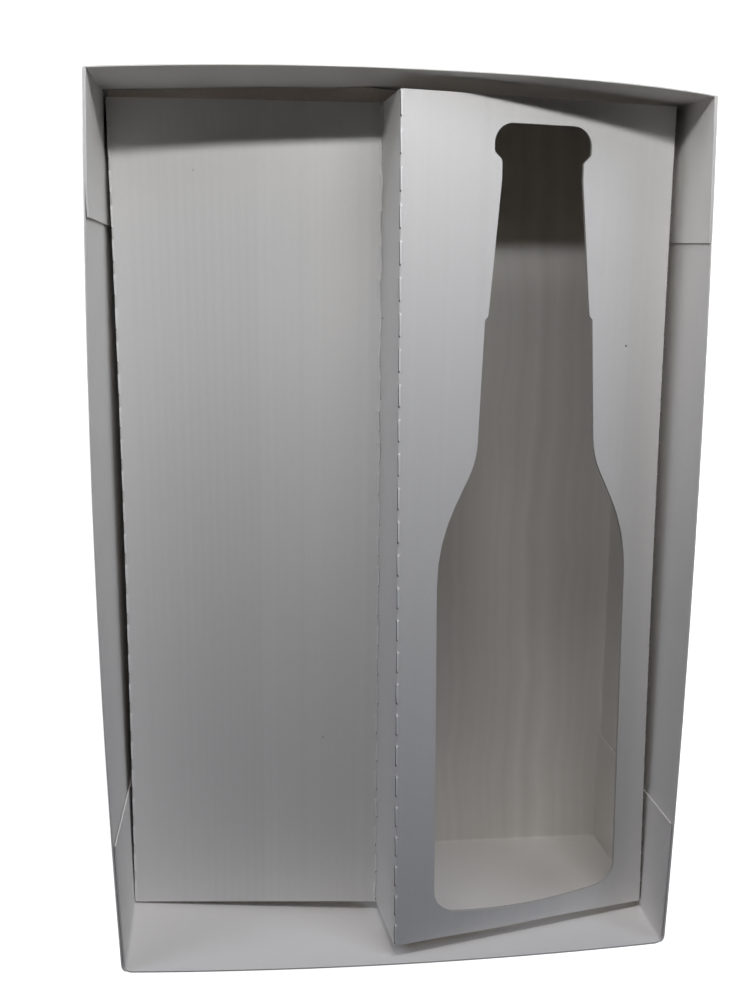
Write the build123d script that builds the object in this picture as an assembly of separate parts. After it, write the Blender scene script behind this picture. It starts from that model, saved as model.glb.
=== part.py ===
from build123d import *
import os
from math import atan2, cos, degrees, radians, sin, sqrt

# Open card tray with a folded insert: a raised platform with a bottle-shaped cut-out
# beside a recessed panel. X runs across the tray, Y along the bottle towards its cap,
# Z up. The origin is the centre of the tray's underside. All sizes are in millimetres.

# Tray board and walls
tray_width = 165.0
tray_height = 70.5
tray_board = 0.6
cap_flap_left = 36.2     # glue flaps, measured from the inside of the end wall
cap_flap_right = 38.2
base_flap = 39.1
flap_drop = 0.5          # glue flaps stop this far below the rim
cap_corner_radius = 0.8
base_corner_radius = 1.9

# Outward bow of the rim on each side, and how far the rim's corners have racked
bow_left = 2.45
bow_right = 1.8
bow_cap = 3.3
bow_base = 2.4
rack_cap_left = (-0.7, 1.2)
rack_cap_right = (0.5, -2.0)
rack_base_right = (0.0, 0.0)
rack_base_left = (0.8, 0.2)

# Insert board and its fit in the tray
insert_board = 0.9
side_play = 0.7          # left leg to the glue flap
outer_play = 1.8         # platform's outer fold to the glue flap
cap_play = 1.9           # insert's end to the end wall, at the cap
base_play = 2.2
ridge_below_rim = 1.6

# Folds of the insert
step_height = 24.5       # also the width of the outer flap
step_lean = 2.3          # the step's top stands this far outward of its foot
panel_rise = 8.1         # the recessed panel climbs towards the step
platform_drop = 16.6     # the platform falls away from the step
fold_radius = 0.4
lip_angle = 40.0         # the panel's cap end turns up by this against the end wall
lip_relief = 0.8         # lip kept clear of the leg and the step
lip_play = 0.15          # lip's edge to the end wall

# Cut-score perforation along the folds
perforation_pitch = 9.525
perforation_cut = 6.35
perforation_width = 0.5

# Bottle-shaped cut-out: widths, and depths below the top of its cap
bottle_length = 232.7
body_width = 60.4
base_sag = 3.0
base_radius = 8.0
shoulder_depth = 115.1
shoulder_radius = 52.0
neck_root_depth = 92.0
neck_root_width = 37.0
neck_root_radius = 25.0
ring_depth = 52.5
ring_width = 33.3
ring_step = 1.0
ring_radius = 0.5
finish_depth = 14.7
finish_width = 24.6
finish_radius = 6.0
cap_width = 29.2
cap_height = 9.8
cap_radius = 5.5
cap_skirt = 2.2          # height of the slope under the cap's edge
cap_skirt_radius = 1.1

# Card left around the cut-out
inner_margin = 12.6
outer_margin = 9.5
cap_margin = 6.9
base_margin = 6.1

# Sizes that follow from those above
insert_length = bottle_length + cap_margin + base_margin
tray_length = insert_length + cap_play + base_play + 2 * tray_board
inner_end = tray_length / 2 - tray_board
insert_cap_end = inner_end - cap_play
insert_base_end = base_play - inner_end
platform_width = body_width + inner_margin + outer_margin

flap_face = tray_width / 2 - 2 * tray_board
left_x = side_play - flap_face
outer_x = flap_face - outer_play
ridge_x = outer_x - sqrt(platform_width**2 - platform_drop**2)
step_x = ridge_x - step_lean
ridge_z = tray_height - ridge_below_rim
step_z = ridge_z - sqrt(step_height**2 - step_lean**2)
left_z = step_z - panel_rise
outer_z = ridge_z - platform_drop

leg_foot = Vector(left_x, tray_board)
left_fold = Vector(left_x, left_z)
step_fold = Vector(step_x, step_z)
ridge_fold = Vector(ridge_x, ridge_z)
outer_fold = Vector(outer_x, outer_z)
outer_flap_edge = Vector(outer_x, outer_z - step_height)


def tray_outline(side_inset, end_inset, height):
    """Outline of the tray at a height: straight at the floor, bowed and racked at the rim."""
    share = height / tray_height
    half_width = tray_width / 2 - side_inset
    half_length = tray_length / 2 - end_inset
    corners = [
        Vector(half_width + share * rack_cap_right[0], half_length + share * rack_cap_right[1]),
        Vector(-half_width + share * rack_cap_left[0], half_length + share * rack_cap_left[1]),
        Vector(-half_width + share * rack_base_left[0], -half_length + share * rack_base_left[1]),
        Vector(half_width + share * rack_base_right[0], -half_length + share * rack_base_right[1]),
    ]
    outward = [(0, bow_cap), (-bow_left, 0), (0, -bow_base), (bow_right, 0)]
    sides = []
    for start, end, bow in zip(corners, corners[1:] + corners[:1], outward):
        if share:
            middle = (start + end) / 2 + Vector(*bow) * share
            sides.append(ThreePointArc(start, middle, end))
        else:
            sides.append(Line(start, end))
    face = make_face(sides)
    cap_corners = face.vertices().filter_by(lambda vertex: vertex.Y > 0)
    face = fillet(cap_corners, cap_corner_radius)
    base_corners = face.vertices().filter_by(lambda vertex: vertex.Y < 0).sort_by(Axis.Y)
    sharp = [v for v in base_corners if abs(v.Y) > half_length - base_corner_radius]
    face = fillet(sharp, base_corner_radius)
    return Pos(0, 0, height) * face


def tray_block(side_inset, end_inset, top):
    """Solid between the floor outline and the outline at the given height."""
    floor_outline = tray_outline(side_inset, end_inset, 0)
    return loft([floor_outline, tray_outline(side_inset, end_inset, top)], ruled=True)


def box_between(low, high):
    size = Vector(*high) - Vector(*low)
    centre = (Vector(*high) + Vector(*low)) / 2
    return Pos(*centre) * Box(*size)


def build_tray():
    above = tray_height + 1
    reach = tray_length
    under_floor = box_between((-reach, -reach, -1), (reach, reach, tray_board))
    shell = tray_block(0, 0, tray_height)
    between_flaps = tray_block(2 * tray_board, tray_board, above) - under_floor
    between_walls = tray_block(tray_board, tray_board, above) - under_floor
    base_flap_end = base_flap - inner_end
    bare_left = box_between((-reach, base_flap_end, 0), (0, inner_end - cap_flap_left, above))
    bare_right = box_between((0, base_flap_end, 0), (reach, inner_end - cap_flap_right, above))
    over_flaps = box_between((-reach, -reach, tray_height - flap_drop), (reach, reach, above + 1))
    tray = shell - between_flaps
    for clear_space in (bare_left, bare_right, over_flaps):
        tray = tray - (between_walls & clear_space)
    return tray


def board_inside(points, thickness):
    """The same chain of folds, moved to its right-hand side by the board's thickness."""
    runs = []
    for start, end in zip(points, points[1:]):
        along = (end - start).normalized()
        right = Vector(along.Y, -along.X) * thickness
        runs.append((start + right, end + right, along))
    moved = [runs[0][0]]
    for (first, _, before), (second, _, after) in zip(runs, runs[1:]):
        turn = before.X * after.Y - before.Y * after.X
        gap = second - first
        distance = (gap.X * after.Y - gap.Y * after.X) / turn
        moved.append(first + before * distance)
    moved.append(runs[-1][1])
    return moved


def folded_sheet():
    """Insert's section, a chain of boards with rounded folds, drawn along the tray."""
    chain = [leg_foot, left_fold, step_fold, ridge_fold, outer_fold, outer_flap_edge]
    inside = board_inside(chain, insert_board)
    wide = fold_radius + insert_board
    outer_line = FilletPolyline(*chain, radius=[wide, fold_radius, wide, wide])
    inner_line = FilletPolyline(*inside, radius=[fold_radius, wide, fold_radius, fold_radius])
    ends = [Line(chain[0], inside[0]), Line(chain[-1], inside[-1])]
    section = Plane.XZ * make_face([outer_line, inner_line] + ends)
    sheet = extrude(section, amount=insert_length, dir=(0, 1, 0))
    return Pos(0, insert_base_end, 0) * sheet


def end_lip():
    """Lip turned up at the cap end of the recessed panel, cut to the bow of the end wall."""
    slope = (step_fold - left_fold) / (step_fold - left_fold).length
    below = Vector(slope.Y, -slope.X) * insert_board
    left = left_fold + slope * lip_relief
    right = step_fold - slope * lip_relief
    edge = Polyline(left, right, right + below, left + below, close=True)
    turn = radians(lip_angle)
    board = extrude(Plane.XZ * make_face(edge), amount=tray_width, dir=(0, cos(turn), sin(turn)))
    inside = tray_block(2 * tray_board + lip_play, tray_board + lip_play, tray_height)
    return Pos(0, insert_cap_end, 0) * board & inside


def bottle_outline():
    """Bottle seen from the side, its base at the origin and its cap along +Y."""
    right_side = [
        Vector(0, bottle_length),
        Vector(cap_width / 2, bottle_length),
        Vector(cap_width / 2, bottle_length - cap_height + cap_skirt),
        Vector(finish_width / 2, bottle_length - cap_height),
        Vector(finish_width / 2, bottle_length - finish_depth),
        Vector(ring_width / 2 - ring_step, bottle_length - ring_depth + ring_step),
        Vector(ring_width / 2, bottle_length - ring_depth),
        Vector(neck_root_width / 2, bottle_length - neck_root_depth),
        Vector(body_width / 2, bottle_length - shoulder_depth),
        Vector(body_width / 2, base_sag),
    ]
    radii = [cap_radius, cap_skirt_radius, cap_skirt_radius, finish_radius,
             ring_radius, ring_radius, neck_root_radius, shoulder_radius]
    right = FilletPolyline(*right_side, radius=radii)
    left = mirror(right, Plane.YZ)
    base = ThreePointArc((-body_width / 2, base_sag), (0, 0), (body_width / 2, base_sag))
    face = make_face([right, left, base])
    corners = [v for v in face.vertices() if abs(v.Y - base_sag) < base_sag / 10]
    return fillet(corners, base_radius)


def bottle_cutter():
    """Bottle outline laid in the platform's slope and carried through the board."""
    axis_share = (inner_margin + body_width / 2) / platform_width
    middle = ridge_fold + (outer_fold - ridge_fold) * axis_share
    across = Vector(outer_x - ridge_x, 0, outer_z - ridge_z)
    along = Vector(0, 1, 0)
    origin = Vector(middle.X, insert_base_end + base_margin, middle.Y)
    slope_plane = Plane(origin=origin, x_dir=across, z_dir=across.cross(along))
    return extrude(slope_plane * bottle_outline(), amount=4 * insert_board, both=True)


def perforation():
    """Cuts of the four perforated folds, each set square across its fold."""
    chain = [leg_foot, left_fold, step_fold, ridge_fold, outer_fold, outer_flap_edge]
    count = round(insert_length / perforation_pitch)
    first = (insert_cap_end + insert_base_end + (count - 1) * perforation_pitch) / 2
    cuts = []
    for before, fold, after in zip(chain, chain[1:], chain[2:]):
        along = (fold - before).normalized() + (after - fold).normalized()
        tilt = degrees(atan2(along.Y, along.X))
        for index in range(count):
            place = first - perforation_pitch * index
            cut = Box(perforation_width, perforation_cut, 8 * insert_board)
            cuts.append(Pos(fold.X, place, fold.Y) * Rot(0, -tilt, 0) * cut)
    return cuts


def build_insert():
    return folded_sheet() + end_lip() - bottle_cutter() - perforation()


os.makedirs("parts", exist_ok=True)
export_step(build_tray(), "parts/tray.step")
export_step(build_insert(), "parts/insert.step")
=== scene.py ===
import math

import bpy
import numpy as np
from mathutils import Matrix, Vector, geometry


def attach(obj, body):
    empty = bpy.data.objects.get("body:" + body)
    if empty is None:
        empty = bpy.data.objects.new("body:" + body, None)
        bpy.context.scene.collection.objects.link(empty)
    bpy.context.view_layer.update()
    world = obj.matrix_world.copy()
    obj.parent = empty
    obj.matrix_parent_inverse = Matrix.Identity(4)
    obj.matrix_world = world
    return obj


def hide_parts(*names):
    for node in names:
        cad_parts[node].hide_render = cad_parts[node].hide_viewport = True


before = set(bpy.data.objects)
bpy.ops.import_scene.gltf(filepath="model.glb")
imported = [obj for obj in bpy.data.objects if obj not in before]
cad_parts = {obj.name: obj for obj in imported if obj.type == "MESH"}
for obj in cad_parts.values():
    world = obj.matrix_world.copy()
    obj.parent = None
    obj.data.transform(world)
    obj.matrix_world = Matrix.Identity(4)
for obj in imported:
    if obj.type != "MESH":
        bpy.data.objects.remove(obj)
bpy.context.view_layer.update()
scene = bpy.context.scene
scene.view_settings.view_transform = "Standard"
mm = 0.001
print("stage 1: frame loaded,", ", ".join(sorted(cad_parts)))


# Shapes shared by both sheets

def roundedLine(points, radii, turnStep=0.2):
    # polyline through the points with an arc of the given radius at each inner one
    points = [Vector(p) for p in points]
    line = [points[0]]
    for before, corner, after, radius in zip(points, points[1:], points[2:], radii):
        back = (before - corner).normalized()
        ahead = (after - corner).normalized()
        half = back.angle(ahead) / 2
        centre = corner + (back + ahead).normalized() * (radius / math.sin(half))
        first = corner + back * (radius / math.tan(half)) - centre
        last = corner + ahead * (radius / math.tan(half)) - centre
        sweep = math.pi - 2 * half
        steps = max(2, math.ceil(sweep / turnStep))
        for step in range(steps + 1):
            share = step / steps
            turned = first * math.sin((1 - share) * sweep) + last * math.sin(share * sweep)
            line.append(centre + turned / math.sin(sweep))
    line.append(points[-1])
    return np.array(line)


def splitLong(line, longest):
    # adds points to a polyline where a run is longer than asked
    dense = []
    for start, end in zip(line, line[1:]):
        parts = max(1, math.ceil(np.linalg.norm(end - start) / longest))
        dense += [start + (end - start) * k / parts for k in range(parts)]
    return np.array(dense + [line[-1]])


def insidePolygon(points, polygon):
    x, y = points[:, 0], points[:, 1]
    inside = np.zeros(len(points), bool)
    for (ax, ay), (bx, by) in zip(polygon, np.roll(polygon, -1, axis=0)):
        if ay == by:
            continue
        crossing = (ay > y) != (by > y)
        inside ^= crossing & (x < ax + (y - ay) * (bx - ax) / (by - ay))
    return inside


def softBox(values, centre, half, ramp):
    # 1 inside the span, 0 outside it, with a smooth ramp at both ends
    share = np.clip((half + ramp / 2 - np.abs(values - centre)) / ramp, 0, 1)
    return share * share * (3 - 2 * share)


def makeSheet(name, points, faces, thickness, faceMaterial, edgeMaterial):
    # one folded sheet: its outer side as a mesh, made solid towards the other side
    mesh = bpy.data.meshes.new(name)
    mesh.from_pydata((points * mm).tolist(), [], [list(map(int, f)) for f in faces])
    mesh.validate()
    mesh.shade_smooth()
    piece = bpy.data.objects.new(name, mesh)
    scene.collection.objects.link(piece)
    mesh.materials.append(faceMaterial)
    mesh.materials.append(edgeMaterial)
    solid = piece.modifiers.new("board", "SOLIDIFY")
    solid.thickness = thickness * mm
    solid.offset = -1
    solid.use_even_offset = True
    solid.material_offset_rim = 1
    split = piece.modifiers.new("crispEdges", "EDGE_SPLIT")
    split.split_angle = math.radians(50)
    return piece


def makeTwoSidedSheet(name, top, under, triangles, faceKind, edgeKind, materials):
    # a folded sheet from its two sides, closed along every free edge with raw board; the materials are for the
    # face, raw edges and the painted highlight beside each cut, painted shade inside the narrow cuts, the under
    # side, the bottle's edge and the painted shade on the lip
    count = len(top)
    loops = np.concatenate([triangles[:, (0, 1)], triangles[:, (1, 2)], triangles[:, (2, 0)]])
    known = set(map(tuple, loops.tolist()))
    free = [(a, b) for a, b in loops.tolist() if (b, a) not in known]
    faces = triangles.tolist() + (triangles[:, ::-1] + count).tolist()
    rim = [(a, a + count, b + count, b) for a, b in free]
    mesh = bpy.data.meshes.new(name)
    mesh.from_pydata((np.vstack([top, under]) * mm).tolist(), [], faces + rim)
    for material in materials:
        mesh.materials.append(material)
    rimKinds = [int(edgeKind[a]) if edgeKind[a] == edgeKind[b] else 1 for a, b in free]
    mesh.polygons.foreach_set("material_index", faceKind.tolist() + [3] * len(triangles) + rimKinds)
    mesh.validate()
    mesh.shade_smooth()
    mesh.set_sharp_from_angle(angle=math.radians(50))
    piece = bpy.data.objects.new(name, mesh)
    scene.collection.objects.link(piece)
    return piece


# Tray: floor, four walls and four glue flaps folded from one sheet

traySet = {
    "halfWidth": 82.5,
    "halfLength": 125.5,
    "height": 70.5,
    "board": 0.45,
    "bow": {"cap": 3.3, "base": 2.4, "left": 2.45, "right": 1.8},
    # how far each rim corner has moved from square
    "rack": {"capLeft": (-0.7, 1.2), "capRight": (0.5, -2.0),
             "baseLeft": (0.8, 0.2), "baseRight": (0.0, 0.0)},
    "capShoulder": 8.5,
    "baseDent": 0.8,
    "cornerRadius": {"cap": 0.8, "base": 1.9},
    # how far the corners are drawn in, at the floor and at the rim
    "cornerWeight": {"cap": (6.0, 6.0), "base": (6.0, 0.9)},
    "cornerInset": 2.6,  # where the straight part of a wall starts
    "cornerFoot": 0.5,
    "floorBend": 1.0,
    "flap": {"capLeft": 36.8, "capRight": 38.8, "baseLeft": 39.7, "baseRight": 39.7},
    "flapDrop": {"cap": 0.05, "base": 0.45},
    "flapGap": {"cap": 0.02, "base": 0.16},
    "flapLift": {"capLeft": 0.45, "capRight": 0.1, "baseLeft": 0.1, "baseRight": 0.1},
    "flapFoot": 1.3,
    "columnsAcross": 200,
    "columnsAlong": 46,
}


def trayCorner(name, level):
    signX = -1 if name.endswith("Left") else 1
    signY = 1 if name.startswith("cap") else -1
    rack = traySet["rack"][name]
    return np.array([signX * traySet["halfWidth"] + level * rack[0],
                     signY * traySet["halfLength"] + level * rack[1]])


def endWallPoint(end, share, level):
    # outer face of an end wall, share 0 at its left corner, level 0 at the floor and 1 at the rim
    outward = np.array([0, 1 if end == "cap" else -1])
    left, right = trayCorner(end + "Left", level), trayCorner(end + "Right", level)
    bow = traySet["bow"][end] * 4 * share * (1 - share)
    if end == "cap":
        bow += traySet["capShoulder"] * share ** 6 * (1 - share)
    return left + (right - left) * share + outward * bow * level


def longWallPoint(side, share, level):
    # outer face of a long wall, share 0 at its base corner
    outward = np.array([1 if side == "right" else -1, 0])
    suffix = side.capitalize()
    base, cap = trayCorner("base" + suffix, level), trayCorner("cap" + suffix, level)
    return base + (cap - base) * share + outward * traySet["bow"][side] * level * 4 * share * (1 - share)


def cornerArc(start, corner, end, steps, weight=math.sqrt(0.5)):
    # arc tangent to both sides of a corner; a larger weight draws it into the corner
    points = []
    for step in range(1, steps):
        u = step / steps
        low, mid, high = (1 - u) ** 2, 2 * u * (1 - u) * weight, u * u
        points.append((start * low + corner * mid + end * high) / (low + mid + high))
    return points


def flapLine(end, side, level, distances):
    # outer face of a glue flap, which lies on the inside of its long wall and lifts a little at its end
    inward = -1 if side == "right" else 1
    length = 2 * traySet["halfLength"]
    reach = traySet["flap"][end + side.capitalize()]
    lift = traySet["flapLift"][end + side.capitalize()] * level
    line = []
    for distance in distances:
        share = distance / length if end == "base" else 1 - distance / length
        raised = lift * max(0, 1 - (reach - distance) / 9) ** 2
        inset = traySet["board"] + traySet["flapGap"][end] + raised
        line.append(longWallPoint(side, share, level) + np.array([inward * inset, 0]))
    return line


def endStrip(end, level, acrossShares):
    # plan line of an end wall with its two flaps, from the left flap's end to the right one's
    radius = traySet["cornerRadius"][end]
    shift = traySet["board"] + traySet["flapGap"][end]
    halves = {}
    for side in ("left", "right"):
        reach = traySet["flap"][end + side.capitalize()]
        distances = np.concatenate([np.linspace(reach, radius + 3, 12), [radius]])
        flap = flapLine(end, side, level, distances)
        corner = flapLine(end, side, level, [0.0])[0]
        share = (shift + radius) / (2 * traySet["halfWidth"])
        wallStart = endWallPoint(end, share if side == "left" else 1 - share, level)
        weight = np.interp(level, (0, 1), traySet["cornerWeight"][end])
        halves[side] = flap + cornerArc(flap[-1], corner, wallStart, 6, weight) + [wallStart]
    wall = [endWallPoint(end, share, level) for share in acrossShares]
    return np.array(halves["left"] + wall + halves["right"][::-1]), len(halves["left"])


def longStrip(side, level, alongShares):
    # plan line of a long wall, which wraps a little way round the corners at both ends
    inward = -1 if side == "right" else 1
    wraps = {}
    for end in ("base", "cap"):
        radius = traySet["cornerRadius"][end]
        length = 2 * traySet["halfLength"]
        share = (radius + traySet["board"]) / length
        start = longWallPoint(side, share if end == "base" else 1 - share, level)
        corner = longWallPoint(side, 0.0 if end == "base" else 1.0, level)
        finish = corner + np.array([inward * (radius + traySet["board"]), 0.0])
        arc = cornerArc(start, corner, finish, 10, np.interp(level, (0, 1), traySet["cornerWeight"][end]))
        wraps[end] = [start] + arc[:7]
    wall = [longWallPoint(side, share, level) for share in alongShares]
    return np.array(wraps["base"][::-1] + wall + wraps["cap"]), len(wraps["base"])


def buildTray(faceMaterial, edgeMaterial):
    half = np.array([traySet["halfWidth"], traySet["halfLength"]])
    height, bend, inset = traySet["height"], traySet["floorBend"], traySet["cornerInset"]
    edgeShares = inset / (2 * half)
    acrossShares = np.linspace(edgeShares[0], 1 - edgeShares[0], traySet["columnsAcross"])
    alongShares = np.linspace(edgeShares[1], 1 - edgeShares[1], traySet["columnsAlong"])
    rows = np.concatenate([[0, 0.015], np.linspace(0.05, 0.95, 15), [0.985, 1.0]])
    points, faces, lookup = [], [], {}

    def addPoint(x, y, z):
        key = (round(x, 4), round(y, 4), round(z, 4))
        if key not in lookup:
            lookup[key] = len(points)
            points.append(key)
        return lookup[key]

    def addGrid(grid, flip):
        for row, nextRow in zip(grid, grid[1:]):
            for a, b, c, d in zip(row, row[1:], nextRow[1:], nextRow):
                faces.append((a, d, c, b) if flip else (a, b, c, d))

    def addWall(floorLine, rimLine, wallFrom, wallTo, lowFlap, dropFlap, outward, flip):
        # wall and flap columns; only the columns of the wall itself bend over into the floor
        count = len(floorLine)
        grid = []
        for share in rows:
            row = []
            for column in range(count):
                away = max(wallFrom - column, column - wallTo, 0)
                part = min(1, away / 6)
                low = bend + lowFlap if away > 7 else bend - part * (bend - traySet["cornerFoot"])
                high = height - part * dropFlap
                z = low + (high - low) * share
                level = (z - bend) / (height - bend)
                x, y = floorLine[column] + (rimLine[column] - floorLine[column]) * level
                row.append(addPoint(x, y, z))
            grid.append(row)
        addGrid(grid, flip)
        turned = [grid[0][wallFrom:wallTo + 1]]
        for step in range(1, 6):
            turn = step / 5 * math.pi / 2
            drawn = bend * (1 - math.cos(turn))
            z = bend * (1 - math.sin(turn))
            turned.append([addPoint(*(floorLine[c] - outward * drawn), z)
                           for c in range(wallFrom, wallTo + 1)])
        addGrid(turned, not flip)

    for end, outward, flip in (("cap", np.array([0, 1]), False), ("base", np.array([0, -1]), True)):
        floorLine, first = endStrip(end, 0, acrossShares)
        rimLine, _ = endStrip(end, 1, acrossShares)
        addWall(floorLine, rimLine, first, first + len(acrossShares) - 1,
                traySet["flapFoot"] - bend, traySet["flapDrop"][end], outward, not flip)
    for side, outward, flip in (("left", np.array([-1, 0]), False), ("right", np.array([1, 0]), True)):
        floorLine, first = longStrip(side, 0, alongShares)
        rimLine, _ = longStrip(side, 1, alongShares)
        addWall(floorLine, rimLine, first, first + len(alongShares) - 1, 0, 0, outward, not flip)

    acrossX = (acrossShares - 0.5) * 2 * half[0]
    alongY = (alongShares - 0.5) * 2 * half[1]
    floorX = np.concatenate([[bend - half[0]], acrossX, [half[0] - bend]])
    floorY = np.concatenate([[bend - half[1]], alongY, [half[1] - bend]])
    addGrid([[addPoint(x, y, 0.0) for x in floorX] for y in floorY], True)
    # the floor's corners run out under the rounded corners of the walls
    for signX, signY in ((1, 1), (-1, 1), (-1, -1), (1, -1)):
        spots = [(bend, inset), (0.1, inset), (0.1, 0.1), (inset, 0.1), (inset, bend), (bend, bend)]
        a, b, c, d, e, f = [addPoint(signX * (half[0] - x), signY * (half[1] - y), 0.0) for x, y in spots]
        for quad in ((a, b, c, f), (f, c, d, e)):
            faces.append(quad[::-1] if signX * signY > 0 else quad)
    # the base wall is drawn in a little between floor and rim, beside the insert's end
    points = np.array(points)
    near = np.clip((-points[:, 1] - 95) / 30, 0, 1) ** 2
    points[:, 1] += traySet["baseDent"] * np.sin(math.pi * np.clip(points[:, 2] / height, 0, 1)) * near
    return makeSheet("trayCard", points, faces, traySet["board"], faceMaterial, edgeMaterial)


# Insert: leg, recessed panel, step, platform with the bottle cut-out, and outer flap

insertSet = {
    "board": 0.9,
    "baseEnd": -122.7,
    "capEnd": 123.0,
    "folds": [(-80.6, 0.6), (-80.6, 36.41), (-3.61, 44.51), (-1.31, 68.9), (79.5, 52.3), (79.5, 27.8)],
    "foldRadii": (0.55, 0.2, 0.45, 0.55),
    "flutePitch": 2.5,
    "fluteHeight": 0.018,
    "leftBow": 0.8,
    "outerBow": -0.75,
    # how the sheet lies in the tray: shift of each fold at the base and cap ends, sideways
    # (skew) and lengthwise (slide)
    "skewBase": (-0.15, -0.24, 0.24, 1.36),
    "skewCap": (-0.8, -0.4, -0.93, -1.0),
    "slideCap": (0.9, 0.15, 0.5, -0.15),
    "slideBase": (0.72, 1.1, 0.1, 1.2),
    # both ends also sag, and spread a little from this middle as they do
    "sagCap": (0.0, 2.4, 2.5, 2.4),
    "sagBase": (2.6, 0.8, 0.0, 0.8),
    "sagMiddle": (-44.3, 76.5),
    "sagReach": 320.0,
}
# cuts along the four folds, left to right: place on the fold, width, width of the notch at the
# base end of each cut, how far the board beside the cut is pushed up, on which side, and how
# far the line wanders
perforationSet = {
    "pitch": 9.525,
    "cut": 6.35,
    "count": 26,
    "notchLength": 0.5,
    "folds": [
        {"shift": 0.0, "width": 0.14, "notch": 0.3, "lip": 0.22, "side": 1, "wander": 0.0},
        {"shift": -0.1, "width": 0.1, "notch": 0.3, "lip": 0.22, "side": -1, "wander": 0.3},
        {"shift": -0.1, "width": 0.3, "notch": 0.55, "lip": 0.27, "side": 1, "wander": 0.06},
        {"shift": 0.0, "width": 0.14, "notch": 0.3, "lip": 0.22, "side": 1, "wander": 0.0},
    ],
}
lipSet = {
    "start": 122.75,
    "radius": 1.0,
    "turn": 40.0,
    "clear": 0.3,  # edge to the end wall
    "relief": 0.2,  # kept clear of the folds beside it
    "flare": 6.0,  # how far the free end runs on past the step's foot
    "flareGap": 1.5,
    "footStep": 0.9,
    "rise": 1.6,
    "crush": 0.8,
    "crushRun": 2.0,
}
bottleSet = {
    "length": 232.7,
    "bodyWidth": 60.4,
    "axisFromRidge": 42.8,
    "lean": -0.0058,
    "leanFrom": 10.0,
    "baseMargin": 6.1,
    "baseCircle": 153.5,
    "baseRadius": 8.0,
    "side": [(0, 0), (14.6, 0), (14.6, 7.6), (12.3, 9.8), (12.3, 14.7), (15.65, 51.5), (16.65, 52.5),
             (18.5, 92.0), (30.2, 115.1)],
    "sideRadii": (5.5, 1.1, 1.1, 6.0, 0.5, 0.5, 25.0, 52.0),
}


def bottleOutline():
    # closed outline, half-widths across and distances up from the base
    length, halfBody = bottleSet["length"], bottleSet["bodyWidth"] / 2
    circle, corner = bottleSet["baseCircle"], bottleSet["baseRadius"]
    cornerX = halfBody - corner
    cornerY = circle - math.sqrt((circle - corner) ** 2 - cornerX ** 2)
    side = [(x, length - depth) for x, depth in bottleSet["side"]] + [(halfBody, cornerY)]
    right = list(roundedLine(side, bottleSet["sideRadii"], 0.12))
    sweep = math.atan2(circle - cornerY, cornerX)
    for step in range(1, 13):
        turn = -sweep * step / 12
        right.append(np.array([cornerX + corner * math.cos(turn), cornerY + corner * math.sin(turn)]))
    reach = math.asin(cornerX / (circle - corner))
    for step in range(1, 13):
        turn = reach * (1 - step / 12)
        right.append(np.array([circle * math.sin(turn), circle - circle * math.cos(turn)]))
    right = splitLong(np.array(right), 2.0)
    left = right[-2:0:-1] * np.array([-1, 1])
    return np.vstack([right, left])


class FoldedSection:
    # section of a folded sheet: distance along the sheet to place on its visible side, that
    # side's normal, and place on its under side
    def __init__(self, points, radii, board):
        self.pieces = []
        self.folds = []
        self.board = board
        points = [np.array(p, float) for p in points]
        at, start, spare = 0.0, points[0], 0.0
        for index, corner in enumerate(points[1:], 1):
            run = corner - points[index - 1]
            ahead = run / np.linalg.norm(run)
            if index == len(points) - 1:
                length = np.linalg.norm(corner - start)
                self.pieces.append((at, at + length, start, ahead, 0.0, spare, 0.0))
                at += length
                break
            after = points[index + 1] - corner
            after = after / np.linalg.norm(after)
            turn = math.atan2(ahead[0] * after[1] - ahead[1] * after[0], ahead @ after)
            radius = radii[index - 1]
            tangent = math.tan(abs(turn) / 2)
            cutBack = radius * tangent
            inner = max(radius, board + 0.05) if turn < 0 else radius
            hidden = (inner - radius) * tangent
            length = np.linalg.norm(corner - ahead * cutBack - start)
            self.pieces.append((at, at + length, start, ahead, 0.0, spare, hidden))
            at += length
            arc = radius * abs(turn)
            self.pieces.append((at, at + arc, corner - ahead * cutBack, ahead, turn, inner, hidden))
            self.folds.append((at + arc / 2, arc / 2, cutBack))
            at += arc
            start = corner + after * cutBack
            spare = hidden
        self.length = at

    def place(self, along):
        along = np.clip(along, 0, self.length)
        spot = np.zeros((len(along), 2))
        normal = np.zeros((len(along), 2))
        under = np.zeros((len(along), 2))
        for first, last, start, ahead, turn, low, high in self.pieces:
            here = (along >= first - 1e-9) & (along <= last + 1e-9)
            run = along[here] - first
            left = np.array([-ahead[1], ahead[0]])
            if turn == 0.0:
                spot[here] = start + run[:, None] * ahead
                normal[here] = left
                inside = np.clip(run, low, last - first - high)
                under[here] = start + inside[:, None] * ahead - left * self.board
                continue
            bendRadius = (last - first) / turn
            angle = run / bendRadius
            cosine, sine = np.cos(angle)[:, None], np.sin(angle)[:, None]
            spot[here] = start + bendRadius * (sine * ahead + (1 - cosine) * left)
            normal[here] = cosine * left - sine * ahead
            if turn > 0:
                under[here] = spot[here] - normal[here] * self.board
            else:
                centre = start - ahead * high - left * low
                under[here] = centre + normal[here] * (low - self.board)
        return spot, normal, under

    def extend(self, along, pieceIndex):
        # places on one straight run carried on past its ends
        first, _, start, ahead, *_ = self.pieces[pieceIndex]
        left = np.array([-ahead[1], ahead[0]])
        spot = start + (along - first)[:, None] * ahead
        return spot, np.tile(left, (len(along), 1)), spot - left * self.board


def wallInside(x, z):
    # inner face of the cap wall, without its shoulder, at a place across and a height
    level = z / traySet["height"]
    share = (x + traySet["halfWidth"]) / (2 * traySet["halfWidth"])
    floorY = endWallPoint("cap", 0.5, 0)[1]
    left, right = trayCorner("capLeft", 1), trayCorner("capRight", 1)
    rimY = left[1] + (right[1] - left[1]) * share + traySet["bow"]["cap"] * 4 * share * (1 - share)
    return floorY + (rimY - floorY) * level - traySet["board"]


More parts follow.
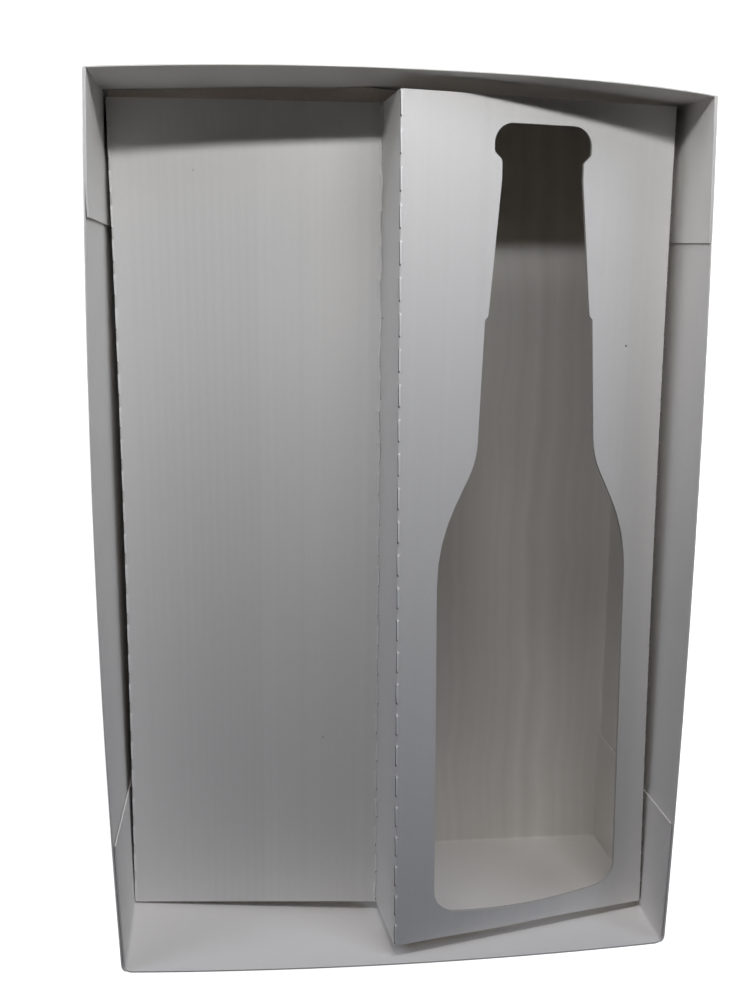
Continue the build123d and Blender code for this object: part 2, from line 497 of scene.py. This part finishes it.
def cutOutline(fold, half, notchLength):
    # one perforation cut about its own middle: a slit that widens at its base end
    wide, slim = fold["notch"] / 2, fold["width"] / 2
    low, neck = -half, -half + notchLength
    return np.array([(-wide, low), (wide, low), (wide, neck), (slim, neck), (slim, half), (-slim, half),
                     (-slim, neck), (-wide, neck)])


def buildInsert(materials):
    section = FoldedSection(insertSet["folds"], insertSet["foldRadii"], insertSet["board"])
    baseEnd, capEnd = insertSet["baseEnd"], insertSet["capEnd"]
    pitch, cutHalf = perforationSet["pitch"], perforationSet["cut"] / 2
    middle = (baseEnd + capEnd) / 2
    cutPlaces = middle + pitch * (np.arange(perforationSet["count"]) - (perforationSet["count"] - 1) / 2)

    # columns across the flat sheet, close on the faces that show and round the folds
    leftFold, stepFold, ridgeFold, outerFold = section.folds
    stops = [0.0] + [fold[0] for fold in section.folds] + [section.length]
    columns = []
    for index, gap in enumerate((3.0, 0.5, 0.5, 0.5, 2.0)):
        low = stops[index] + (2.2 if index else 0.0)
        high = stops[index + 1] - (2.2 if index < 4 else 0.0)
        columns.append(np.linspace(low, high, round((high - low) / gap) + 1))
    fieldColumns = np.concatenate(columns)
    fieldRows = np.concatenate([[baseEnd], cutPlaces[:-1] + pitch / 2, [capEnd]])
    foldRows = np.concatenate([cutPlaces + sign * (cutHalf + shift) for sign in (-1, 1)
                               for shift in (-1.7, -0.5, -0.2, 0.0, 0.2, 0.5)] + [cutPlaces, fieldRows])
    foldRows = np.unique(foldRows[(foldRows >= baseEnd) & (foldRows <= capEnd)].round(3))
    spread = np.array([0.05, 0.15, 0.28, 0.42, 0.6, 0.95, 1.5])
    points = [np.array([(s, y) for s in fieldColumns for y in fieldRows])]
    cuts, slits = [], []
    for (at, *_), fold in zip(section.folds, perforationSet["folds"]):
        slit = at + fold["shift"]
        slits.append(slit)
        outline = cutOutline(fold, cutHalf, perforationSet["notchLength"])
        cuts.append(outline)
        sides = fold["width"] / 2 + np.concatenate([[0.0], spread])
        bothSides = np.concatenate([slit - sides, slit + sides])
        points.append(np.array([(s, y) for s in bothSides for y in foldRows]))

    # lip at the panel's cap end, long enough to reach the end wall
    panelFrom = leftFold[0] + leftFold[1] + lipSet["relief"]
    panelTo = stepFold[0] - stepFold[1] - lipSet["relief"]
    lipTo = panelTo + lipSet["flare"]
    lipColumns = np.linspace(panelFrom, lipTo, 150)
    curl = math.radians(lipSet["turn"])
    curlRun = lipSet["radius"] * curl
    spot, _, _ = section.extend(lipColumns, 2)
    standOff = lipSet["flareGap"] * np.clip((lipColumns - panelTo + 4) / (lipSet["flare"] + 4), 0, 1)
    standOff += np.interp(lipColumns, stops[1:5], insertSet["slideCap"])
    sagMiddle, sagReach = insertSet["sagMiddle"], insertSet["sagReach"]
    standOff += np.interp(lipColumns, stops[1:5], insertSet["sagCap"]) * (capEnd - sagMiddle[1]) / sagReach
    reach = wallInside(spot[:, 0], spot[:, 1] + 2.5) - lipSet["clear"] - standOff - lipSet["start"]
    straight = (reach - lipSet["radius"] * math.sin(curl)) / math.cos(curl)
    lipEnds = lipSet["start"] + curlRun + straight
    lipFoot = capEnd + np.where(lipColumns > panelTo, lipSet["footStep"], 0.0)
    for share in (0.08, 0.2, 0.4, 0.7, 1.0):
        points.append(np.stack([lipColumns, lipFoot + (lipEnds - lipFoot) * share], axis=1))
    lipBase = fieldColumns[(fieldColumns > panelFrom) & (fieldColumns < panelTo)]
    points.append(np.array([(s, lipSet["start"] + run) for s in lipBase for run in (0.0, 0.12)]))
    freeCorner = [[panelTo, capEnd], [panelTo, capEnd + 0.25], [lipTo, capEnd + lipSet["footStep"]]]
    lipEdge = np.concatenate([freeCorner, np.stack([lipColumns, lipEnds], axis=1)[::-1],
                              [[panelFrom, capEnd]]])

    # outlines: the sheet's edge, the bottle and the cuts
    edge = np.vstack([[[0, baseEnd], [section.length, baseEnd], [section.length, capEnd]],
                      lipEdge, [[0, capEnd]]])
    flatStart = ridgeFold[0] + ridgeFold[1] - ridgeFold[2]
    bottle = bottleOutline()
    bottle[:, 0] += bottleSet["lean"] * (bottle[:, 1] - bottleSet["leanFrom"])
    bottle += np.array([flatStart + bottleSet["axisFromRidge"], baseEnd + bottleSet["baseMargin"]])
    cloud = np.vstack(points)
    near = insidePolygon(cloud, bottle)
    for shift in ((0.35, 0), (-0.35, 0), (0, 0.35), (0, -0.35)):
        near |= insidePolygon(cloud + np.array(shift), bottle)
    cloud = np.unique(cloud[~near].round(4), axis=0)
    vertices = [Vector(p) for p in cloud]
    edges = []
    placedCuts = [cut + np.array([slit, y]) for slit, cut in zip(slits, cuts) for y in cutPlaces]
    for outline in [edge, bottle] + placedCuts:
        first = len(vertices)
        vertices += [Vector(p) for p in outline]
        edges += [(first + k, first + (k + 1) % len(outline)) for k in range(len(outline))]
    flat, _, triangles, *_ = geometry.delaunay_2d_cdt(vertices, edges, [], 0, 1e-3, False)
    flat = np.array([tuple(v) for v in flat])
    triangles = np.array(triangles)
    corners = flat[triangles]
    centres = corners.mean(axis=1)
    keep = insidePolygon(centres, edge) & ~insidePolygon(centres, bottle)
    offCut = centres[:, 1] - cutPlaces[np.abs(centres[:, 1, None] - cutPlaces).argmin(axis=1)]
    # the lip's face takes a dark brown tone: painted shade where it lies against the end wall
    faceKind = np.where(centres[:, 1] > capEnd + 0.1, 5, 0)
    for slit, cut, fold in zip(slits, cuts, perforationSet["folds"]):
        offSlit = centres[:, 0] - slit
        keep &= ~insidePolygon(np.stack([offSlit, offCut], axis=1), cut)
        # the face beside each cut, on its raised side, takes the pale edge tone: a painted highlight
        beside = offSlit * fold["side"]
        faceKind[(beside > 0) & (beside < fold["width"] / 2 + 0.42) & (np.abs(offCut) < cutHalf)] = 1
    span, rise = corners[:, 1] - corners[:, 0], corners[:, 2] - corners[:, 0]
    area = span[:, 0] * rise[:, 1] - span[:, 1] * rise[:, 0]
    triangles[area < 0] = triangles[area < 0][:, ::-1]
    keep &= np.abs(area) > 1e-7
    triangles, faceKind = triangles[keep], faceKind[keep]
    used, triangles = np.unique(triangles, return_inverse=True)
    triangles = triangles.reshape(-1, 3)
    flat = flat[used]

    # fold the flat sheet
    along, lengthwise = flat[:, 0], flat[:, 1]
    spot, normal, below = section.place(along)
    inLip = lengthwise > capEnd + 0.01
    spot[inLip], normal[inLip], below[inLip] = section.extend(along[inLip], 2)
    lift = np.cos(2 * math.pi * along / insertSet["flutePitch"]) * insertSet["fluteHeight"]
    fromFold = np.abs(along[:, None] - np.array([fold[0] for fold in section.folds])).min(axis=1)
    lift *= np.clip(fromFold - 1.5, 0, 1)
    # each cut's edge is pushed up, most at its cap end
    cutShare = sum(softBox(lengthwise, y, cutHalf - 0.1, 0.45) * (1 + 0.35 * (lengthwise - y) / cutHalf)
                   for y in cutPlaces)
    waver = np.sin(lengthwise * 0.33) * 0.6 + np.sin(lengthwise * 0.81 + 1.0) * 0.4
    shiftX = np.zeros_like(along)
    for slit, fold in zip(slits, perforationSet["folds"]):
        off = along - slit - np.sign(along - slit) * fold["width"] / 2
        faceSide = np.where((along - slit) * fold["side"] > 0, 1.0, 0.25)
        lift += fold["lip"] * faceSide * cutShare * np.exp(-(off / 0.42) ** 2)
        shiftX += fold["wander"] * waver * np.exp(-(off / 1.1) ** 2)
    sink = below - spot
    spot = spot + normal * lift[:, None]
    spot[:, 0] += shiftX
    half = capEnd - middle
    bow = np.clip(1 - ((lengthwise - middle) / half) ** 2, 0, 1)
    leftShare = np.clip((stepFold[0] - along) / (stepFold[0] - leftFold[0]), 0, 1)
    outerShare = np.clip((along - ridgeFold[0]) / (outerFold[0] - ridgeFold[0]), 0, 1) ** 6
    spot[:, 0] += bow * (insertSet["leftBow"] * leftShare + insertSet["outerBow"] * outerShare)
    # the sheet lies a little askew, and only its outer margin follows the outer fold
    bent = np.where(along > ridgeFold[0], ridgeFold[0] + outerShare * (outerFold[0] - ridgeFold[0]), along)
    atBase = np.interp(bent, stops[1:5], insertSet["skewBase"])
    atCap = np.interp(bent, stops[1:5], insertSet["skewCap"])
    capShare = np.clip((lengthwise - baseEnd) / (capEnd - baseEnd), 0, 1)
    spot[:, 0] += atBase + (atCap - atBase) * capShare
    towardsCap = np.clip((lengthwise - middle) / half, 0, 1)
    towardsBase = np.clip((middle - lengthwise) / half, 0, 1)
    slide = np.interp(along, stops[1:5], insertSet["slideCap"]) * towardsCap
    slide += np.interp(along, stops[1:5], insertSet["slideBase"]) * towardsBase
    # turn up the lip
    curls = inLip | ((along > panelFrom - 0.3) & (along < panelTo + 0.3))
    run = np.where(curls, np.clip(lengthwise - lipSet["start"], 0, None), 0)
    angle = np.minimum(run / lipSet["radius"], curl)
    rest = run - angle * lipSet["radius"]
    forward = lipSet["radius"] * np.sin(angle) + rest * np.cos(angle)
    upward = lipSet["radius"] * (1 - np.cos(angle)) + rest * np.sin(angle)
    # the lip stands steeper towards its free end beside the step
    upward += rest * lipSet["rise"] * np.clip((along - panelTo + 16) / (16 + lipSet["flare"]), 0, 1) ** 1.5
    y = np.where(run > 0, lipSet["start"] + forward, lengthwise)
    top = np.stack([spot[:, 0], y + slide, spot[:, 1] + upward], axis=1)
    sag = np.interp(along, stops[1:5], insertSet["sagCap"]) * capShare
    sag += np.interp(along, stops[:5], (0.0, *insertSet["sagBase"])) * (1 - capShare)
    top[:, 0] += sag * (top[:, 0] - sagMiddle[0]) / sagReach
    top[:, 1] += sag * (top[:, 1] - sagMiddle[1]) / sagReach
    top[:, 2] -= sag
    # the lip's board is crushed thin towards the edge that meets the end wall
    sink = sink * (1 - lipSet["crush"] * np.clip(rest / lipSet["crushRun"], 0, 1))[:, None]
    under = top + np.stack([sink[:, 0], -np.sin(angle) * sink[:, 1], np.cos(angle) * sink[:, 1]], axis=1)
    under -= np.stack([normal[:, 0] * lift, np.zeros_like(lift), normal[:, 1] * lift], axis=1)
    # edges show raw board, duller along the bottle; inside the cuts the dark tone is painted shade
    onBottle = set(map(tuple, bottle.round(2).tolist()))
    edgeKind = np.array([4 if spot in onBottle else 1 for spot in map(tuple, flat.round(2).tolist())])
    offCut = np.abs(lengthwise[:, None] - cutPlaces).min(axis=1)
    for slit, fold in zip(slits, perforationSet["folds"]):
        edgeKind[(np.abs(along - slit) < fold["notch"] / 2 + 0.01) & (offCut < cutHalf + 0.01)] = 2
    return makeTwoSidedSheet("insertCard", top, under, triangles, faceKind, edgeKind, materials)


# Materials

class BoardNodes:
    # node tree of one board: a tone that wanders between two limits, with roughness and bump
    def __init__(self, name):
        self.material = bpy.data.materials.new(name)
        self.material.use_nodes = True
        self.tree = self.material.node_tree
        self.shader = self.tree.nodes["Principled BSDF"]
        self.place = self.add("ShaderNodeTexCoord").outputs["Object"]

    def add(self, kind, links=(), **settings):
        node = self.tree.nodes.new(kind)
        for key, value in settings.items():
            setattr(node, key, value)
        for socket, source in links:
            if hasattr(source, "links"):
                self.tree.links.new(source, node.inputs[socket])
            else:
                node.inputs[socket].default_value = source
        return node

    def noise(self, scale, detail=2.0, stretch=(1, 1, 1)):
        moved = self.add("ShaderNodeMapping", [("Vector", self.place), ("Scale", stretch)])
        links = [("Vector", moved.outputs[0]), ("Scale", scale), ("Detail", detail)]
        return self.add("ShaderNodeTexNoise", links).outputs[0]

    def lineNoise(self, across, scale, detail=1.0):
        # streaks: noise that changes only across the given direction
        spot = self.add("ShaderNodeVectorMath", [(0, self.place), (1, across)], operation="DOT_PRODUCT")
        links = [("W", spot.outputs["Value"]), ("Scale", scale), ("Detail", detail)]
        return self.add("ShaderNodeTexNoise", links, noise_dimensions="1D").outputs[0]

    def weigh(self, total, source, weight):
        # total plus the source's swing about its middle
        swing = self.add("ShaderNodeMath", [(0, source), (1, weight), (2, -0.5 * weight)],
                         operation="MULTIPLY_ADD")
        return self.add("ShaderNodeMath", [(0, total), (1, swing.outputs[0])], operation="ADD").outputs[0]

    def finish(self, factor, low, high, roughness, bumpSource, bumpHeight, marks=()):
        tone = self.toneBetween(factor, low, high)
        if marks:
            tone = self.addMarks(tone, marks)
        self.tree.links.new(tone, self.shader.inputs["Base Color"])
        spread = self.add("ShaderNodeMapRange", [("Value", factor), ("To Min", roughness[1]),
                                                 ("To Max", roughness[0])])
        self.tree.links.new(spread.outputs[0], self.shader.inputs["Roughness"])
        bump = self.add("ShaderNodeBump", [("Height", bumpSource), ("Strength", 0.5), ("Distance", bumpHeight)])
        self.tree.links.new(bump.outputs[0], self.shader.inputs["Normal"])
        return self.material

    def addMarks(self, tone, marks):
        # small specks, placed in plan
        plan = self.add("ShaderNodeVectorMath", [(0, self.place), (1, (1.0, 1.0, 0.0))],
                        operation="MULTIPLY")
        for mark in marks:
            spot, radius = (*mark["place"], 0.0), mark["radius"]
            gap = self.add("ShaderNodeVectorMath", [(0, plan.outputs[0]), (1, spot)], operation="DISTANCE")
            share = self.add("ShaderNodeMapRange", [
                ("Value", gap.outputs["Value"]), ("From Min", radius * 0.6), ("From Max", radius),
                ("To Min", mark["depth"]), ("To Max", 0.0)])
            tone = self.blend(share.outputs[0], tone, mark["tone"])
        return tone

    def toneBetween(self, factor, low, high):
        ramp = self.add("ShaderNodeValToRGB", [("Fac", factor)])
        ramp.color_ramp.elements[0].color = (*low, 1)
        ramp.color_ramp.elements[1].color = (*high, 1)
        return ramp.outputs["Color"]

    def blend(self, share, under, over):
        mix = self.add("ShaderNodeMix", data_type="RGBA")
        self.tree.links.new(share, mix.inputs[0])
        self.tree.links.new(under, mix.inputs[6])
        mix.inputs[7].default_value = (*over, 1)
        return mix.outputs[2]


def trayFaceMaterial():
    look = {"low": (0.793, 0.771, 0.738), "high": (0.89, 0.87, 0.84), "roughness": (0.45, 0.58),
            "streakScale": 240.0, "streakWander": (0.008, 0.0, 0.0), "streakWeight": 1.1}
    board = BoardNodes("trayFace")
    fibre = board.noise(1300, 3.0, (1, 0.5, 1))
    factor = board.weigh(0.5, board.noise(22, 3.0), 0.5)
    factor = board.weigh(factor, fibre, 0.35)
    # painted streaks of reflected light and shade on the floor, lengthwise, which wander a little from side to
    # side
    wander = board.add("ShaderNodeTexNoise", [("Vector", board.place), ("Scale", 26.0), ("Detail", 1.0)])
    moved = board.add("ShaderNodeVectorMath", [(0, wander.outputs["Color"]), (1, look["streakWander"]),
                                               (2, board.place)], operation="MULTIPLY_ADD")
    across = board.add("ShaderNodeVectorMath", [(0, moved.outputs[0]), (1, (1.0, 0.0, 0.0))],
                       operation="DOT_PRODUCT")
    streak = board.add("ShaderNodeTexNoise", [("W", across.outputs["Value"]), ("Scale", look["streakScale"]),
                                              ("Detail", 1.0)], noise_dimensions="1D")
    height = board.add("ShaderNodeSeparateXYZ", [(0, board.place)])
    onFloor = board.add("ShaderNodeMapRange", [("Value", height.outputs["Z"]), ("From Min", 0.0012),
                                               ("From Max", 0.0025), ("To Min", 1.0), ("To Max", 0.0)])
    swing = board.add("ShaderNodeMath", [(0, streak.outputs[0]), (1, 0.5)], operation="SUBTRACT")
    floorSwing = board.add("ShaderNodeMath", [(0, swing.outputs[0]), (1, onFloor.outputs[0])],
                           operation="MULTIPLY")
    factor = board.add("ShaderNodeMath", [(0, floorSwing.outputs[0]), (1, look["streakWeight"]), (2, factor)],
                       operation="MULTIPLY_ADD").outputs[0]
    return board.finish(factor, look["low"], look["high"], look["roughness"], fibre, 0.00004)


def insertFaceMaterial():
    look = {"low": (0.76, 0.747, 0.727), "high": (0.86, 0.847, 0.827), "roughness": (0.4, 0.52)}
    marks = [
        {"place": (0.0669, 0.0560), "radius": 0.0004, "depth": 0.85, "tone": (0.06, 0.055, 0.05)},
        {"place": (-0.0038, 0.0633), "radius": 0.0004, "depth": 0.85, "tone": (0.06, 0.055, 0.05)},
        {"place": (-0.0207, -0.0664), "radius": 0.0003, "depth": 0.6, "tone": (0.12, 0.11, 0.1)},
        {"place": (-0.0574, 0.1045), "radius": 0.0003, "depth": 0.45, "tone": (0.2, 0.19, 0.18)},
    ]
    board = BoardNodes("insertFace")
    fibre = board.noise(1500, 3.0, (1, 0.4, 1))
    factor = board.weigh(0.5, board.noise(18, 2.0), 0.4)
    factor = board.weigh(factor, fibre, 0.3)
    # painted shade and light of the washboard ribs over the flutes, as pale and dark streaks
    factor = board.weigh(factor, board.lineNoise((1.0, 0.0, 1.0), 400.0), 0.34)
    factor = board.weigh(factor, board.lineNoise((1.0, 0.0, 1.0), 85.0), 0.36)
    return board.finish(factor, look["low"], look["high"], look["roughness"], fibre, 0.00003, marks)


def fibreMaterial(name, low, high, roughness, scale):
    # short fibres and thin layers, as on torn or cut board; the same texture carries the painted shade in the
    # slits and on the lip
    board = BoardNodes(name)
    fibre = board.noise(scale, 4.0, (1, 0.3, 1))
    factor = board.weigh(0.5, fibre, 0.9)
    factor = board.weigh(factor, board.noise(60, 2.0), 0.4)
    return board.finish(factor, low, high, roughness, fibre, 0.00006)


trayMaterials = [
    trayFaceMaterial(),
    fibreMaterial("trayEdge", (0.78, 0.755, 0.72), (0.9, 0.88, 0.85), (0.75, 0.9), 1800),
]
insertMaterials = [
    insertFaceMaterial(),
    # pale raw edges, also used as the painted highlight beside each cut
    fibreMaterial("insertEdgeAndCutHighlight", (0.88, 0.87, 0.855), (0.97, 0.965, 0.955), (0.75, 0.9), 1600),
    # dark tone inside the slits: painted shade
    fibreMaterial("insertSlitShade", (0.12, 0.1, 0.085), (0.22, 0.185, 0.155), (0.85, 0.95), 1600),
    fibreMaterial("insertUnder", (0.76, 0.68, 0.58), (0.86, 0.79, 0.695), (0.7, 0.85), 900),
    fibreMaterial("insertCut", (0.4, 0.38, 0.355), (0.52, 0.5, 0.47), (0.8, 0.92), 1600),
    # dark brown lip: painted shade
    fibreMaterial("insertLipShade", (0.44, 0.37, 0.31), (0.56, 0.485, 0.42), (0.75, 0.88), 1200),
]
tray = buildTray(*trayMaterials)
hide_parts("tray")
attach(tray, "root")
print("stage 2: tray sheet,", len(tray.data.polygons), "faces")
insert = buildInsert(insertMaterials)
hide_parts("insert")
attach(insert, "root")
print("stage 3: insert sheet,", len(insert.data.polygons), "faces")

cameraSet = {
    "place": (-0.044268, 0.076544, 0.385464),
    "turn": (-0.196129, -0.110434, 0.008154),
    "focalPixels": 1168.767,
    "imageHeight": 1006,
}
lens = bpy.data.cameras.new("photoCamera")
lens.sensor_fit = "VERTICAL"
lens.sensor_height = 36.0
lens.lens = lens.sensor_height * cameraSet["focalPixels"] / cameraSet["imageHeight"]
lens.clip_start = 0.01
camera = bpy.data.objects.new("photoCamera", lens)
camera.location = cameraSet["place"]
camera.rotation_euler = cameraSet["turn"]
scene.collection.objects.link(camera)
scene.camera = camera

lightSet = {
    "keyStrip": {"place": (0.0, 0.1973, 0.2036), "aim": (0.0, 0.03, 0.05), "size": (0.195, 0.0105),
                 "power": 0.2556, "tint": (0.986, 0.99, 1.0)},
    "backFill": {"place": (0.0, 1.766, 0.939), "aim": (0.0, 0.0, 0.05), "size": (0.4, 0.4),
                 "power": 2.93, "tint": (1.0, 0.957, 0.973)},
    "rightFill": {"place": (1.1725, 1.1725, 1.118), "aim": (0.0, 0.0, 0.05), "size": (0.7, 0.7),
                  "power": 6.42, "tint": (0.777, 0.845, 1.0)},
    "leftFill": {"place": (-1.329, 1.329, 0.684), "aim": (0.0, 0.0, 0.05), "size": (0.7, 0.7),
                 "power": 6.54, "tint": (0.832, 0.867, 1.0)},
}
lamps = {}
for name, settings in lightSet.items():
    data = bpy.data.lights.new(name, "AREA")
    data.shape = "RECTANGLE"
    data.size, data.size_y = settings["size"]
    data.energy = settings["power"]
    data.color = settings["tint"]
    lamp = bpy.data.objects.new(name, data)
    lamp.location = settings["place"]
    way = Vector(settings["aim"]) - Vector(settings["place"])
    lamp.rotation_euler = way.to_track_quat("-Z", "Y").to_euler()
    lamp.visible_camera = False
    scene.collection.objects.link(lamp)
    lamps[name] = lamp

# pale surround: it is seen round the floor, and gives no light of its own
studioSet = {
    "surround": (1.0, 1.0, 1.0, 1.0),
    "floorSize": 60.0,
    "floorDrop": 0.0002,
    "floorTones": ((0.87, 0.87, 0.87), (0.93, 0.93, 0.93)),
    "washPower": 3.6,
    "washAngle": 40.0,
}
world = bpy.data.worlds.new("studio")
world.use_nodes = True
background = world.node_tree.nodes["Background"]
background.inputs["Color"].default_value = studioSet["surround"]
scene.world = world
for ray in ("diffuse", "glossy", "transmission", "scatter"):
    setattr(world.cycles_visibility, ray, False)

bpy.ops.mesh.primitive_plane_add(size=studioSet["floorSize"], location=(0, 0, -studioSet["floorDrop"]))
floor = bpy.context.object
floor.name = "studioFloor"
floor.data.materials.append(fibreMaterial("paleFloor", *studioSet["floorTones"], (0.7, 0.8), 30))
# even light from above, for the floor alone
wash = bpy.data.lights.new("floorWash", "SUN")
wash.energy = studioSet["washPower"]
wash.angle = math.radians(studioSet["washAngle"])
washLamp = bpy.data.objects.new("floorWash", wash)
scene.collection.objects.link(washLamp)
floorOnly = bpy.data.collections.new("floorOnly")
floorOnly.objects.link(floor)
washLamp.light_linking.receiver_collection = floorOnly
# a narrow flag keeps the near strip off the outside of the cap wall; the other lamps pass it
flagSet = {"width": 0.3, "from": 0.1456, "to": 0.27, "height": 0.1}
flagPoints = [(side * flagSet["width"] / 2, flagSet[edge], flagSet["height"])
              for side, edge in ((-1, "from"), (1, "from"), (1, "to"), (-1, "to"))]
flagMesh = bpy.data.meshes.new("keyFlag")
flagMesh.from_pydata(flagPoints, [], [(0, 1, 2, 3)])
flagTones = ((0.02, 0.02, 0.02), (0.05, 0.05, 0.05))
flagMesh.materials.append(fibreMaterial("flagCloth", *flagTones, (0.8, 0.9), 200))
flag = bpy.data.objects.new("keyFlag", flagMesh)
scene.collection.objects.link(flag)
flag.visible_camera = flag.visible_diffuse = flag.visible_glossy = flag.visible_transmission = False
shadowCasters = bpy.data.collections.new("shadowCasters")
for caster in (tray, insert, floor):
    shadowCasters.objects.link(caster)
for lamp in (washLamp, lamps["backFill"], lamps["rightFill"], lamps["leftFill"]):
    lamp.light_linking.blocker_collection = shadowCasters
print("stage 4: camera, light and floor")
